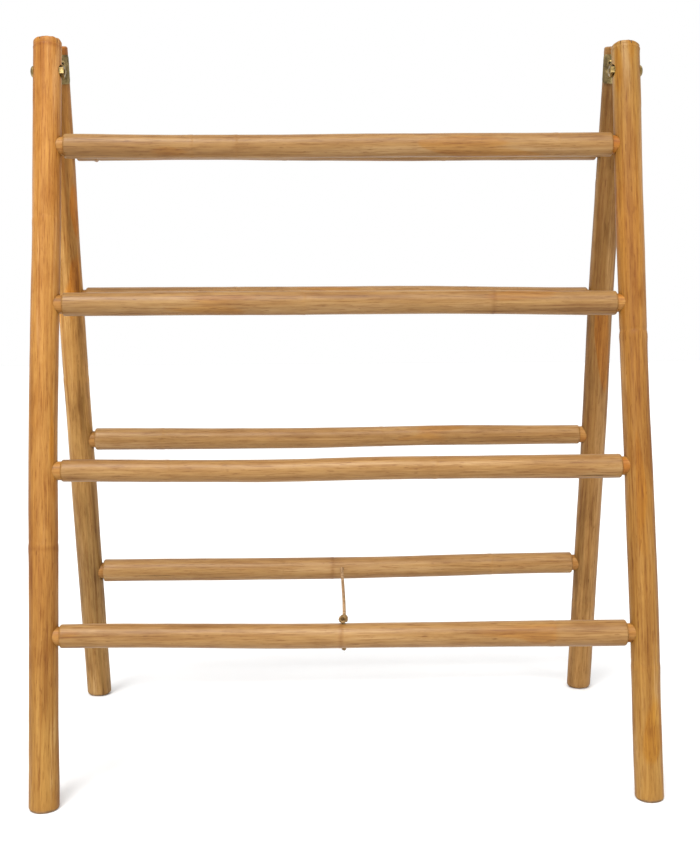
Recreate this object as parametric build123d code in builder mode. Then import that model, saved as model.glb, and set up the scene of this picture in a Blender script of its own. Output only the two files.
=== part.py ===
from build123d import *
import math
import os

os.makedirs("parts", exist_ok=True)

# Folding double ladder rack of cane poles: two ladder frames hinged at the top and held open by a
# twine between their bottom rungs. Millimetres, +Z up, X across the rack, the front frame towards
# -Y. The origin is on the floor, midway between the front and rear feet. The rack stands open.

# Frames
pole_spacing = 620.0  # between the pole axes of one frame
tilt = 11.8  # degrees that each open frame leans from upright
front_pole_length = 804.0  # along the axis, from the floor to the top end
front_pole_diameter = 30.0
rear_pole_diameter = 28.5
front_pivot_drop = 37.0  # hinge bolt below the front pole's top end
rear_pivot_drop = 23.0  # bracket's middle below the rear pole's top end
pivot_offset = 50.0  # from the hinge bolt to the rear pole's axis
front_top_round = 5.5
rear_top_round = 2.0
foot_round = 1.8

# Rungs, placed along the poles
rung_names = ["bottom", "lower", "upper", "top"]
rung_diameter = 25.0
tenon_diameter = 20.0
tenon_neck = 5.0  # bare tenon between a rung's shoulder and the pole
tenon_depth = 18.0  # tenon inside the pole
shoulder_round = 2.3
shoulder_flat = 0.2  # least flat left round the tenon
front_first_rung = 170.0  # bottom rung above the floor, along the pole
front_last_rung_drop = 118.0  # top rung below the pole's top end
rear_first_rung = 174.0
rear_last_rung_drop = 113.0
socket_end_gap = 2.0
glue_gap = 0.05  # radial gap of a glued or screwed fit

# Hinge bolt, washer and nut
bolt_diameter = 6.0
bolt_head_diameter = 13.0
bolt_head_height = 4.0
bolt_head_rim = 0.6  # straight edge under the dome
bolt_head_sink = 1.3  # depth of the seat in the pole's outer side
bolt_end = 1.2  # bolt end beyond the nut
washer_diameter = 13.0
washer_thickness = 1.2
nut_across_flats = 11.0
nut_height = 5.2
nut_sink = 3.0  # depth of the seat in the pole's inner side
seat_clearance = 0.8  # around the bolt head and the washer
pivot_clearance = 0.08  # radial, bolt in the bracket's eye

# Hinge bracket: a saddle plate round the rear pole and a tongue in a slot of the front pole
saddle_height = 31.0
saddle_thickness = 1.6
saddle_half_angle = 76.0  # degrees each side of the pole's front line
saddle_corner = 4.0
tongue_thickness = 2.5
tongue_root_height = 18.0
tongue_eye_diameter = 13.0
slot_clearance = 0.5  # each side of the tongue
slot_front_gap = 1.5  # in front of the eye
slot_below = 10.5  # slot's floor below the bolt

# Bracket screws
screw_angle = 36.0  # degrees from the pole's front line
screw_spacing = 13.4  # along the pole
screw_shank_diameter = 3.0
screw_length = 12.0
screw_head_diameter = 6.4
screw_head_height = 2.0
screw_head_round = 1.1
screw_slot_length = 3.6
screw_slot_width = 0.9
screw_slot_depth = 1.0

# Twine
twine_diameter = 3.0
twine_mouth_gap = 3.0  # straight part in front of the rear rung
twine_arc_share = 0.45  # of the shorter run beside each bend
twine_hole_diameter = 4.4
front_twine_x = -1.0
rear_twine_x = 3.5
front_knot_diameter = 9.4
rear_knot_diameter = 9.0
stop_knot_diameter = 5.4
stop_knot_height = 4.0
stop_knot_round = 1.4
knot_sink = 0.6  # part of a round knot that its flat seat takes away
knot_gap = 0.3  # between a knot and its rung
knot_flat_share = 0.93  # of the knot's radius, where the twine's end meets it

# Places worked out from the sizes above
sin_tilt = math.sin(math.radians(tilt))
cos_tilt = math.cos(math.radians(tilt))
front_radius = front_pole_diameter / 2
rear_radius = rear_pole_diameter / 2
front_up = Vector(0, sin_tilt, cos_tilt)  # along a front pole
front_back = Vector(0, cos_tilt, -sin_tilt)  # square to it, towards the rear frame
rear_up = Vector(0, -sin_tilt, cos_tilt)
rear_back = Vector(0, cos_tilt, sin_tilt)
front_pivot_along = front_pole_length - front_pivot_drop
pivot_z = front_pivot_along * cos_tilt
rear_pivot_along = (pivot_z + pivot_offset * sin_tilt) / cos_tilt
rear_pole_length = rear_pivot_along + rear_pivot_drop
front_run = front_pivot_along * sin_tilt + front_radius / cos_tilt
rear_run = rear_pivot_along * sin_tilt + pivot_offset * cos_tilt + rear_radius / cos_tilt
pivot_y = (front_run - rear_run) / 2
front_foot = Vector(0, pivot_y - front_pivot_along * sin_tilt, 0)
rear_foot = Vector(0, pivot_y + rear_pivot_along * sin_tilt + pivot_offset * cos_tilt, 0)
gaps_between_rungs = len(rung_names) - 1
front_pitch = (front_pole_length - front_last_rung_drop - front_first_rung) / gaps_between_rungs
rear_pitch = (rear_pole_length - rear_last_rung_drop - rear_first_rung) / gaps_between_rungs
front_rungs_along = [front_first_rung + front_pitch * i for i in range(len(rung_names))]
rear_rungs_along = [rear_first_rung + rear_pitch * i for i in range(len(rung_names))]
sides = {"left": -1, "right": 1}


def save(piece, name):
    piece.part.label = name
    export_step(piece.part, f"parts/{name}.step")


def pole_foot(foot, side):
    return foot + Vector(side * pole_spacing / 2, 0, 0)


def inner_face(foot, up, side, radius, along=0.0):
    # A plane on a pole's inner side, looking into the pole, with its x axis along the pole.
    inward = Vector(-side, 0, 0)
    return Plane(origin=pole_foot(foot, side) + inward * radius + up * along, x_dir=up, z_dir=-inward)


def bare_pole(foot, up, side, radius, length, top_round):
    # A round pole cut level with the floor, with both ends eased.
    axis = Plane(origin=pole_foot(foot, side), x_dir=(1, 0, 0), z_dir=up)
    with BuildPart() as pole:
        with BuildSketch(axis.offset(-2 * radius)):
            Circle(radius)
        extrude(amount=length + 2 * radius)
        split(bisect_by=Plane.XY)
        fillet(pole.edges().sort_by(Axis.Z)[-1], radius=top_round)
        fillet(pole.faces().sort_by(Axis.Z)[0].edges(), radius=foot_round)
    return pole.part


def rung_sockets(foot, up, side, radius, rungs_along):
    # The blind holes that a pole needs for the rung tenons.
    with BuildPart() as sockets:
        with BuildSketch(inner_face(foot, up, side, radius)):
            with Locations(*[(along, 0) for along in rungs_along]):
                Circle(tenon_diameter / 2 + glue_gap)
        extrude(amount=tenon_depth + socket_end_gap)
    return sockets.part


# Front poles: sockets, slot for the bracket's tongue, bolt hole and its two seats
tongue_half_slot = tongue_thickness / 2 + slot_clearance
slot_front = tongue_eye_diameter / 2 + slot_front_gap
slot_reach = slot_front + front_pole_diameter
slot_rise = slot_below + 2 * front_pivot_drop
for side_name, side in sides.items():
    pivot = pole_foot(front_foot, side) + front_up * front_pivot_along
    blank = bare_pole(front_foot, front_up, side, front_radius, front_pole_length, front_top_round)
    sockets = rung_sockets(front_foot, front_up, side, front_radius, front_rungs_along)
    with BuildPart() as front_pole:
        add(blank)
        add(sockets, mode=Mode.SUBTRACT)
        with BuildSketch(Plane(origin=pivot, x_dir=front_back, z_dir=(1, 0, 0))):
            with Locations((-slot_front, -slot_below)):
                Rectangle(slot_reach, slot_rise, align=(Align.MIN, Align.MIN))
        extrude(amount=tongue_half_slot, both=True, mode=Mode.SUBTRACT)
        with BuildSketch(inner_face(front_foot, front_up, side, front_radius, front_pivot_along)):
            Circle(bolt_diameter / 2 + glue_gap)
        extrude(amount=front_pole_diameter, mode=Mode.SUBTRACT)
        with BuildSketch(inner_face(front_foot, front_up, side, front_radius, front_pivot_along)):
            Circle(washer_diameter / 2 + seat_clearance)
        extrude(amount=nut_sink, mode=Mode.SUBTRACT)
        with BuildSketch(inner_face(front_foot, front_up, side, -front_radius, front_pivot_along)):
            Circle(bolt_head_diameter / 2 + seat_clearance)
        extrude(amount=-bolt_head_sink, mode=Mode.SUBTRACT)
    save(front_pole, f"front_{side_name}_pole")

# Rear poles: sockets and pilot holes for the bracket screws
screw_seat = rear_radius + glue_gap + saddle_thickness + glue_gap


def screw_planes(side):
    # One plane on the saddle for each screw, looking out of the pole.
    middle = pole_foot(rear_foot, side) + rear_up * rear_pivot_along
    planes = []
    for turn in (-screw_angle, screw_angle):
        for rise in (-screw_spacing / 2, screw_spacing / 2):
            across = Vector(math.sin(math.radians(turn)), 0, 0)
            outward = across - rear_back * math.cos(math.radians(turn))
            seat = middle + rear_up * rise + outward * screw_seat
            planes.append(Plane(origin=seat, x_dir=rear_up, z_dir=outward))
    return planes


for side_name, side in sides.items():
    blank = bare_pole(rear_foot, rear_up, side, rear_radius, rear_pole_length, rear_top_round)
    sockets = rung_sockets(rear_foot, rear_up, side, rear_radius, rear_rungs_along)
    with BuildPart() as rear_pole:
        add(blank)
        add(sockets, mode=Mode.SUBTRACT)
        for plane in screw_planes(side):
            with BuildSketch(plane):
                Circle(screw_shank_diameter / 2 + glue_gap)
            extrude(amount=-screw_length - socket_end_gap, mode=Mode.SUBTRACT)
    save(rear_pole, f"rear_{side_name}_pole")


# Rungs: a round bar with eased shoulders and a tenon at each end
def bare_rung(foot, up, along, pole_radius):
    centre = foot + up * along
    middle = Plane(origin=centre, x_dir=(0, 1, 0), z_dir=(1, 0, 0))
    half_bar = pole_spacing / 2 - pole_radius - tenon_neck
    half_whole = pole_spacing / 2 - pole_radius + tenon_depth
    with BuildPart() as rung:
        with BuildSketch(middle):
            Circle(rung_diameter / 2)
        extrude(amount=half_bar, both=True)
        widest_round = (rung_diameter - tenon_diameter) / 2 - shoulder_flat
        ends = rung.faces().filter_by(GeomType.PLANE)
        fillet(ends.edges(), radius=min(shoulder_round, widest_round))
        with BuildSketch(middle):
            Circle(tenon_diameter / 2)
        extrude(amount=half_whole, both=True)
    return rung.part


front_bottom = front_foot + front_up * front_rungs_along[0]
rear_bottom = rear_foot + rear_up * rear_rungs_along[0]
for name, along in zip(rung_names, front_rungs_along):
    bar = bare_rung(front_foot, front_up, along, front_radius)
    with BuildPart() as front_rung:
        add(bar)
        if name == "bottom":
            with BuildSketch(Plane(origin=front_bottom + Vector(front_twine_x, 0, 0))):
                Circle(twine_hole_diameter / 2)
            extrude(amount=rung_diameter, both=True, mode=Mode.SUBTRACT)
    save(front_rung, f"front_rung_{name}")
for name, along in zip(rung_names, rear_rungs_along):
    bar = bare_rung(rear_foot, rear_up, along, rear_radius)
    with BuildPart() as rear_rung:
        add(bar)
        if name == "bottom":
            hole_middle = rear_bottom + Vector(rear_twine_x, 0, 0)
            with BuildSketch(Plane(origin=hole_middle, x_dir=(1, 0, 0), z_dir=(0, -1, 0))):
                Circle(twine_hole_diameter / 2)
            extrude(amount=rung_diameter, both=True, mode=Mode.SUBTRACT)
    save(rear_rung, f"rear_rung_{name}")

# Hinge bolts, washers and nuts
for side_name, side in sides.items():
    outer_seat = inner_face(front_foot, front_up, side, bolt_head_sink - front_radius, front_pivot_along)
    inner_seat = inner_face(front_foot, front_up, side, front_radius - nut_sink, front_pivot_along)
    nut_seat = inner_seat.offset(-washer_thickness)
    grip = front_pole_diameter - bolt_head_sink - nut_sink
    with BuildPart() as bolt:
        with BuildSketch(outer_seat):
            Circle(bolt_head_diameter / 2)
        extrude(amount=bolt_head_height)
        dome_face = bolt.faces().sort_by(Axis.X)[-1 if side > 0 else 0]
        fillet(dome_face.edges(), radius=bolt_head_height - bolt_head_rim)
        with BuildSketch(outer_seat):
            Circle(bolt_diameter / 2)
        extrude(amount=-(grip + washer_thickness + nut_height + bolt_end))
    save(bolt, f"{side_name}_pivot_bolt")
    with BuildPart() as washer:
        with BuildSketch(inner_seat):
            Circle(washer_diameter / 2)
            Circle(bolt_diameter / 2 + glue_gap, mode=Mode.SUBTRACT)
        extrude(amount=-washer_thickness)
    save(washer, f"{side_name}_pivot_washer")
    with BuildPart() as nut:
        with BuildSketch(nut_seat):
            RegularPolygon(radius=nut_across_flats / 2, side_count=6, major_radius=False)
            Circle(bolt_diameter / 2 + glue_gap, mode=Mode.SUBTRACT)
        extrude(amount=-nut_height)
    save(nut, f"{side_name}_pivot_nut")

# Hinge brackets
for side_name, side in sides.items():
    middle = pole_foot(rear_foot, side) + rear_up * rear_pivot_along
    across_pole = Plane(origin=middle, x_dir=(1, 0, 0), z_dir=rear_up)
    saddle_inside = rear_radius + glue_gap
    saddle_outside = saddle_inside + saddle_thickness
    first_angle = -90 - saddle_half_angle
    with BuildPart() as bracket:
        with BuildSketch(across_pole):
            with BuildLine():
                outside = CenterArc((0, 0), saddle_outside, first_angle, 2 * saddle_half_angle)
                inside = CenterArc((0, 0), saddle_inside, first_angle, 2 * saddle_half_angle)
                Line(outside @ 0, inside @ 0)
                Line(outside @ 1, inside @ 1)
            make_face()
        extrude(amount=saddle_height / 2, both=True)
        corners = bracket.edges().filter_by(lambda edge: abs(edge.length - saddle_thickness) < 0.001)
        fillet(corners, radius=saddle_corner)
        with BuildSketch(Plane(origin=middle, x_dir=rear_back, z_dir=(1, 0, 0))):
            with Locations((-pivot_offset, 0)):
                Circle(tongue_eye_diameter / 2)
            with Locations((-saddle_inside - saddle_thickness / 2, 0)):
                Rectangle(saddle_thickness / 2, tongue_root_height)
            make_hull()
        extrude(amount=tongue_thickness / 2, both=True)
        with BuildSketch(Plane(origin=middle - rear_back * pivot_offset, z_dir=(1, 0, 0))):
            Circle(bolt_diameter / 2 + pivot_clearance)
        extrude(amount=tongue_thickness, both=True, mode=Mode.SUBTRACT)
        for plane in screw_planes(side):
            with BuildSketch(plane):
                Circle(screw_shank_diameter / 2 + glue_gap)
            extrude(amount=-2 * saddle_thickness, mode=Mode.SUBTRACT)
    save(bracket, f"{side_name}_hinge_bracket")

# Bracket screws: four pan-head screws for each bracket
with BuildPart() as one_screw:
    with BuildSketch():
        Circle(screw_head_diameter / 2)
    extrude(amount=screw_head_height)
    fillet(one_screw.faces().sort_by(Axis.Z)[-1].edges(), radius=screw_head_round)
    with BuildSketch():
        Circle(screw_shank_diameter / 2)
    extrude(amount=-screw_length)
    with BuildSketch(Plane.XY.offset(screw_head_height)):
        Rectangle(screw_slot_length, screw_slot_width)
        Rectangle(screw_slot_width, screw_slot_length)
    extrude(amount=-screw_slot_depth, mode=Mode.SUBTRACT)

for side_name, side in sides.items():
    with BuildPart() as screws:
        with Locations(*[Location(plane) for plane in screw_planes(side)]):
            add(one_screw.part)
    save(screws, f"{side_name}_bracket_screws")

# Front knot: on top of the bottom rung, with the tail down through the rung and a stop beneath
knot_top_seat = front_bottom + Vector(front_twine_x, 0, rung_diameter / 2 + knot_gap)
stop_knot_seat = front_bottom + Vector(front_twine_x, 0, -rung_diameter / 2 - knot_gap)
front_knot_radius = front_knot_diameter / 2
knot_centre = knot_top_seat + Vector(0, 0, front_knot_radius - knot_sink)
rear_knot_radius = rear_knot_diameter / 2
rear_knot_face = rear_bottom + Vector(rear_twine_x, rung_diameter / 2 + knot_gap, 0)
rear_knot_centre = rear_knot_face + Vector(0, rear_knot_radius - knot_sink, 0)

# The twine's route: out of the rear knot, through the rear rung, tight across to the front knot
twine_mouth = rear_bottom + Vector(rear_twine_x, -rung_diameter / 2 - twine_mouth_gap, 0)
twine_near_knot = knot_centre + Vector(1.5, 20.0, 0.6)
knot_pull = (twine_near_knot - knot_centre).normalized()
twine_end = knot_centre + knot_pull * front_knot_radius * knot_flat_share
route = [rear_knot_face, twine_mouth, twine_near_knot, twine_end]
radii = []
for before, corner, after in zip(route, route[1:], route[2:]):
    turn = math.radians((corner - before).get_angle(after - corner))
    shorter_run = min((corner - before).length, (after - corner).length)
    radii.append(twine_arc_share * shorter_run / math.tan(turn / 2))
print("twine arc radii, mm:", [round(radius, 1) for radius in radii])

with BuildPart() as front_knot:
    with Locations(knot_centre):
        Sphere(front_knot_radius)
    split(bisect_by=Plane(origin=knot_top_seat, z_dir=(0, 0, 1)))
    split(bisect_by=Plane(origin=twine_end, z_dir=knot_pull), keep=Keep.BOTTOM)
    with BuildSketch(Plane(origin=knot_centre)):
        Circle(twine_diameter / 2)
    extrude(amount=stop_knot_seat.Z - knot_centre.Z - stop_knot_height / 2)
    with BuildSketch(Plane(origin=stop_knot_seat)):
        Circle(stop_knot_diameter / 2)
    extrude(amount=-stop_knot_height)
    fillet(front_knot.edges().group_by(Axis.Z)[0], radius=stop_knot_round)
save(front_knot, "front_twine_knot")

with BuildPart() as rear_knot:
    with Locations(rear_knot_centre):
        Sphere(rear_knot_radius)
    split(bisect_by=Plane(origin=rear_knot_face, z_dir=(0, 1, 0)))
save(rear_knot, "rear_twine_knot")

with BuildPart() as stay_twine:
    with BuildLine() as twine_line:
        FilletPolyline(*route, radius=radii)
    with BuildSketch(Plane(origin=twine_line.line @ 0, z_dir=twine_line.line % 0)):
        Circle(twine_diameter / 2)
    sweep()
save(stay_twine, "stay_twine")
twine_length = twine_line.wire().length
twine_share = stay_twine.part.volume / (math.pi * twine_diameter**2 / 4 * twine_length)
print("twine length, mm:", round(twine_length, 1))
print("twine volume over section times length:", round(twine_share, 4))
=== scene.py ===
import math
import random

import bmesh
import bpy
from mathutils import Matrix, Vector, noise


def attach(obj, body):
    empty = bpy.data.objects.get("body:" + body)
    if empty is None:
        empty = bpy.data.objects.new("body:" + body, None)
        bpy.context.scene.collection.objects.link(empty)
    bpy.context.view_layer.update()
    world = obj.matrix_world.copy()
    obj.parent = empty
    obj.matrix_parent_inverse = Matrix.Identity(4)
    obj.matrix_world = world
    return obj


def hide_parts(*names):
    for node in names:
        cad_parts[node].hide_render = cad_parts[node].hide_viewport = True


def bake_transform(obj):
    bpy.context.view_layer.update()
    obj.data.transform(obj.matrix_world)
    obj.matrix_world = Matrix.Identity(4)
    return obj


# Folding double ladder rack of lacquered cane, standing open. Metres, front frame towards -Y.
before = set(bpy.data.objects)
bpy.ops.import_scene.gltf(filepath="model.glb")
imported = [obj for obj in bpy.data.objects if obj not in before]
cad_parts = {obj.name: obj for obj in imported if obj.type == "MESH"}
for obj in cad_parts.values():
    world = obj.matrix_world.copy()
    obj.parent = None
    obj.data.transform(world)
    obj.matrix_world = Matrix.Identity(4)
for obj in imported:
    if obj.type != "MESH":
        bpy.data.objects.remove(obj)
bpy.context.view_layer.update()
print("frame loaded:", len(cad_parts), "CAD nodes")

mm = 0.001
scene = bpy.context.scene


# mesh helpers
def newMesh(name, points, faces, uvs=None, materials=()):
    mesh = bpy.data.meshes.new(name)
    mesh.from_pydata([tuple(p) for p in points], [], faces)
    if uvs:
        layer = mesh.uv_layers.new(name="UVMap")
        flat = [number for face in uvs for corner in face for number in corner]
        layer.data.foreach_set("uv", flat)
    for material in materials:
        mesh.materials.append(material)
    mesh.shade_smooth()
    mesh.validate()
    piece = bpy.data.objects.new(name, mesh)
    scene.collection.objects.link(piece)
    return piece


def stackRings(rings, hollow=False):
    # Quads between neighbouring rings, with a flat face on each end. A hollow one closes on itself.
    count = len(rings[0])
    points = [p for ring in rings for p in ring]
    faces = []
    for i in range(len(rings) - (0 if hollow else 1)):
        low, high = i * count, (i + 1) % len(rings) * count
        for j in range(count):
            k = (j + 1) % count
            faces.append((low + j, low + k, high + k, high + j))
    if not hollow:
        faces.append(tuple(reversed(range(count))))
        faces.append(tuple(range(len(points) - count, len(points))))
    return points, faces


def addTube(store, path, radii, sides, closed=False):
    # A round tube along a path, with a UV of metres along and share around.
    count = len(path)
    start = len(store["points"])
    normal = None
    along = 0.0
    distances = []
    for i, place in enumerate(path):
        before = path[i - 1] if closed or i > 0 else place
        after = path[(i + 1) % count] if closed or i < count - 1 else place
        tangent = (after - before).normalized()
        if normal is None:
            normal = tangent.orthogonal().normalized()
        normal = (normal - tangent * normal.dot(tangent)).normalized()
        across = tangent.cross(normal)
        if i > 0:
            along += (place - path[i - 1]).length
        distances.append(along)
        for j in range(sides):
            angle = 2 * math.pi * j / sides
            offset = normal * math.cos(angle) + across * math.sin(angle)
            store["points"].append(place + offset * radii[i])
    spans = count if closed else count - 1
    for i in range(spans):
        low = start + i * sides
        high = start + ((i + 1) % count) * sides
        u1 = distances[i]
        u2 = distances[i + 1] if i + 1 < count else along + (path[0] - path[-1]).length
        for j in range(sides):
            k = (j + 1) % sides
            v1, v2 = j / sides, (j + 1) / sides
            store["faces"].append((low + j, low + k, high + k, high + j))
            store["uvs"].append([(u1, v1), (u1, v2), (u2, v2), (u2, v1)])
    if not closed:
        first = tuple(reversed(range(start, start + sides)))
        last = tuple(range(start + (count - 1) * sides, start + count * sides))
        store["faces"] += [first, last]
        store["uvs"] += [[(end, j / sides) for j in range(sides)] for end in (0, along)]


def smoothBetween(table, at):
    # Eased values between the rows of a short table whose first column is the place.
    if at <= table[0][0]:
        return table[0][1:]
    for row, following in zip(table, table[1:]):
        if at <= following[0]:
            share = (at - row[0]) / (following[0] - row[0])
            share = share * share * (3 - 2 * share)
            return [a + (b - a) * share for a, b in zip(row[1:], following[1:])]
    return table[-1][1:]


def roundCutter(name, start, direction, length, radius, material):
    mesh = bpy.data.meshes.new(name)
    work = bmesh.new()
    turn = Vector(direction).to_track_quat("Z", "Y").to_matrix().to_4x4()
    place = Matrix.Translation(Vector(start) + Vector(direction).normalized() * length / 2)
    bmesh.ops.create_cone(
        work, cap_ends=True, segments=64, radius1=radius, radius2=radius, depth=length, matrix=place @ turn
    )
    work.to_mesh(mesh)
    work.free()
    mesh.materials.append(material)
    cutter = bpy.data.objects.new(name, mesh)
    scene.collection.objects.link(cutter)
    return cutter


def blockCutter(name, points, faces, material):
    cutter = newMesh(name, points, faces, materials=[material])
    cutter.data.shade_flat()
    work = bmesh.new()
    work.from_mesh(cutter.data)
    bmesh.ops.recalc_face_normals(work, faces=work.faces)
    work.to_mesh(cutter.data)
    work.free()
    return cutter


def dropChips(mesh, smallest=24):
    # Deletes the specks that a cut can leave beside its edge.
    work = bmesh.new()
    work.from_mesh(mesh)
    bmesh.ops.dissolve_degenerate(work, dist=0.0005 * mm, edges=work.edges)
    seen, chips = set(), []
    for start in work.verts:
        if start in seen:
            continue
        seen.add(start)
        island = [start]
        for vertex in island:
            for edge in vertex.link_edges:
                other = edge.other_vert(vertex)
                if other not in seen:
                    seen.add(other)
                    island.append(other)
        if len(island) < smallest:
            chips += island
    bmesh.ops.delete(work, geom=chips, context="VERTS")
    large = [face for face in work.faces if len(face.verts) > 4]
    bmesh.ops.triangulate(work, faces=large, ngon_method="EAR_CLIP")
    # flat fins: two faces back to back on the same corners
    corners = {}
    for face in work.faces:
        key = tuple(sorted(tuple(round(c, 7) for c in vertex.co) for vertex in face.verts))
        corners.setdefault(key, []).append(face)
    fins = [face for group in corners.values() if len(group) == 2 for face in group]
    bmesh.ops.delete(work, geom=fins, context="FACES")
    bmesh.ops.remove_doubles(work, verts=work.verts, dist=0.0001 * mm)
    work.to_mesh(mesh)
    work.free()


def combine(piece, cuts=(), joins=(), sharp=38):
    # Joins and cuts other meshes, then keeps the result as the piece's own mesh.
    for operation, tools in (("UNION", joins), ("DIFFERENCE", cuts)):
        for tool in tools:
            change = piece.modifiers.new(tool.name, "BOOLEAN")
            change.operation = operation
            change.solver = "MANIFOLD"
            change.material_mode = "TRANSFER"
            change.object = tool
    bpy.context.view_layer.update()
    finished = piece.evaluated_get(bpy.context.evaluated_depsgraph_get())
    mesh = bpy.data.meshes.new_from_object(finished)
    piece.modifiers.clear()
    dropChips(mesh)
    piece.data = mesh
    mesh.shade_smooth()
    mesh.set_sharp_from_angle(angle=math.radians(sharp))
    for tool in (*joins, *cuts):
        bpy.data.objects.remove(tool)


def turnedPiece(name, profile, origin, axis, material, start=None, sides=72, hollow=False, outline=None):
    # A piece turned about an axis from (radius, height) pairs; a hollow one closes on itself.
    forward = Vector(axis).normalized()
    side = Vector(start) if start else forward.orthogonal().normalized()
    top = forward.cross(side)
    rings = []
    for radius, height in profile:
        ring = []
        for j in range(sides):
            angle = 2 * math.pi * j / sides
            size = outline(angle, radius) if outline else radius
            out = side * math.cos(angle) + top * math.sin(angle)
            ring.append(Vector(origin) + forward * height + out * size)
        rings.append(ring)
    points, faces = stackRings(rings, hollow)
    piece = newMesh(name, points, faces, materials=[material])
    piece.data.set_sharp_from_angle(angle=math.radians(32))
    return piece


def prismCutter(name, outlines, material):
    # A solid through two or more matching outlines.
    points, faces = stackRings(outlines)
    return blockCutter(name, points, faces, material)


# material helpers
def startMaterial(name):
    material = bpy.data.materials.new(name)
    material.use_nodes = True
    return material, material.node_tree, material.node_tree.nodes["Principled BSDF"]


def addNode(tree, kind, place, **settings):
    node = tree.nodes.new(kind)
    node.location = place
    for key, value in settings.items():
        setattr(node, key, value)
    return node


def stretch(tree, source, scale, place):
    node = addNode(tree, "ShaderNodeMapping", place)
    node.inputs["Scale"].default_value = scale
    tree.links.new(source, node.inputs["Vector"])
    return node.outputs["Vector"]


def noiseNode(tree, vector, scale, detail, roughness, place, distortion=0.0):
    node = addNode(tree, "ShaderNodeTexNoise", place)
    node.inputs["Scale"].default_value = scale
    node.inputs["Detail"].default_value = detail
    node.inputs["Roughness"].default_value = roughness
    node.inputs["Distortion"].default_value = distortion
    tree.links.new(vector, node.inputs["Vector"])
    return node.outputs["Fac"]


def ramp(tree, source, stops, place):
    # Stops are (place, grey or colour).
    node = addNode(tree, "ShaderNodeValToRGB", place)
    elements = node.color_ramp.elements
    elements[0].position, elements[1].position = stops[0][0], stops[-1][0]
    for position, value in stops[1:-1]:
        elements.new(position)
    for element, (position, value) in zip(elements, stops):
        colour = value if isinstance(value, tuple) else (value, value, value)
        element.color = (*colour, 1)
    tree.links.new(source, node.inputs["Fac"])
    return node.outputs["Color"]


def mixColour(tree, share, first, second, place, blend="MIX"):
    node = addNode(tree, "ShaderNodeMix", place, data_type="RGBA", blend_type=blend)
    factor, a, b = node.inputs[0], node.inputs[6], node.inputs[7]
    for socket, value in ((factor, share), (a, first), (b, second)):
        if isinstance(value, (int, float)):
            socket.default_value = value
        elif isinstance(value, tuple):
            socket.default_value = (*value, 1)
        else:
            tree.links.new(value, socket)
    return node.outputs[2]


def bump(tree, shader, height, strength, distance, place, before=None):
    node = addNode(tree, "ShaderNodeBump", place)
    node.inputs["Strength"].default_value = strength
    node.inputs["Distance"].default_value = distance
    tree.links.new(height, node.inputs["Height"])
    if before is not None:
        tree.links.new(before, node.inputs["Normal"])
    if shader is not None:
        tree.links.new(node.outputs["Normal"], shader.inputs["Normal"])
    return node.outputs["Normal"]


# How the cane's layers tint the colour beneath them: (noise level, tint).
stripeTints = [
    (0.32, (0.76, 0.62, 0.42)), (0.48, (0.98, 0.95, 0.90)),
    (0.58, (1.04, 1.03, 1.0)), (0.68, (1.16, 1.20, 1.26)),
]
fibreTints = [
    (0.34, (0.62, 0.46, 0.28)), (0.46, (0.98, 0.97, 0.95)),
    (0.54, (1.03, 1.03, 1.04)), (0.66, (1.14, 1.19, 1.26)),
]
white = (1.0, 1.0, 1.0)
nodeLine = {"wobble": 0.005, "dark": (0.70, 0.56, 0.40), "lip": (1.06, 1.05, 1.02), "share": 0.7}


def ringShade(tree, place, turn, clouds, rings, start, shades):
    # The nodes' dark lines with a pale lip, and the slow change of colour along the pole.
    plain = addNode(tree, "ShaderNodeMapping", (-1600, -1000))
    plain.inputs["Rotation"].default_value = turn
    tree.links.new(place, plain.inputs["Vector"])
    parts = addNode(tree, "ShaderNodeSeparateXYZ", (-1400, -1000))
    tree.links.new(plain.outputs["Vector"], parts.inputs["Vector"])
    wobble = addNode(tree, "ShaderNodeMath", (-1200, -1000), operation="MULTIPLY_ADD")
    wobble.inputs[1].default_value = nodeLine["wobble"]
    tree.links.new(clouds, wobble.inputs[0])
    tree.links.new(parts.outputs["Z"], wobble.inputs[2])
    share = addNode(tree, "ShaderNodeMapRange", (-1000, -1000))
    share.inputs["From Min"].default_value = start + nodeLine["wobble"] / 2
    share.inputs["From Max"].default_value = start + nodeLine["wobble"] / 2 + 1
    tree.links.new(wobble.outputs["Value"], share.inputs["Value"])
    stops = [(0.0, white)]
    for ring in sorted(rings):
        stops += [(ring - 0.0009, white), (ring, nodeLine["dark"])]
        stops += [(ring + 0.0008, nodeLine["lip"]), (ring + 0.0026, white)]
    stops.append((1.0, white))
    lines = ramp(tree, share.outputs["Result"], stops, (-700, -1000))
    along = ramp(tree, share.outputs["Result"], shades, (-700, -1200)) if shades else None
    return lines, along


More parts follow.
